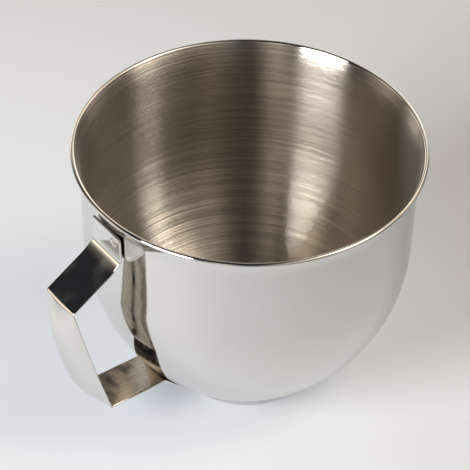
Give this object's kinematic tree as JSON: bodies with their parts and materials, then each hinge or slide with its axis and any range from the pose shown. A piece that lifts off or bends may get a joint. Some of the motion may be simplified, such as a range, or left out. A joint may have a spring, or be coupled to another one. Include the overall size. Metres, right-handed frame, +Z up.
{
  "type": "stand mixer bowl",
  "caption": "Deep round steel mixing bowl with a rolled rim, a folded strap handle on its side and a twist-lock base ring.",
  "frame": {"origin": "on the table under the part, midway between the handle's outermost point and the far side of the rim", "axes": "+Z up along the bowl's axis, +X away from the handle, which points along -X, so the bowl's axis stands at x = 0.0172 m"},
  "size_m": [0.2564, 0.222, 0.1815],
  "materials": {
    "polished_steel": "bare stainless steel, mirror polished outside and finely brushed round the axis inside the bowl",
    "satin_steel": "bare pressed stainless steel, satin"
  },
  "bodies": {
    "root": {"bowl": "polished_steel", "handle": "polished_steel", "base_ring": "satin_steel"}
  },
  "joints": []
}
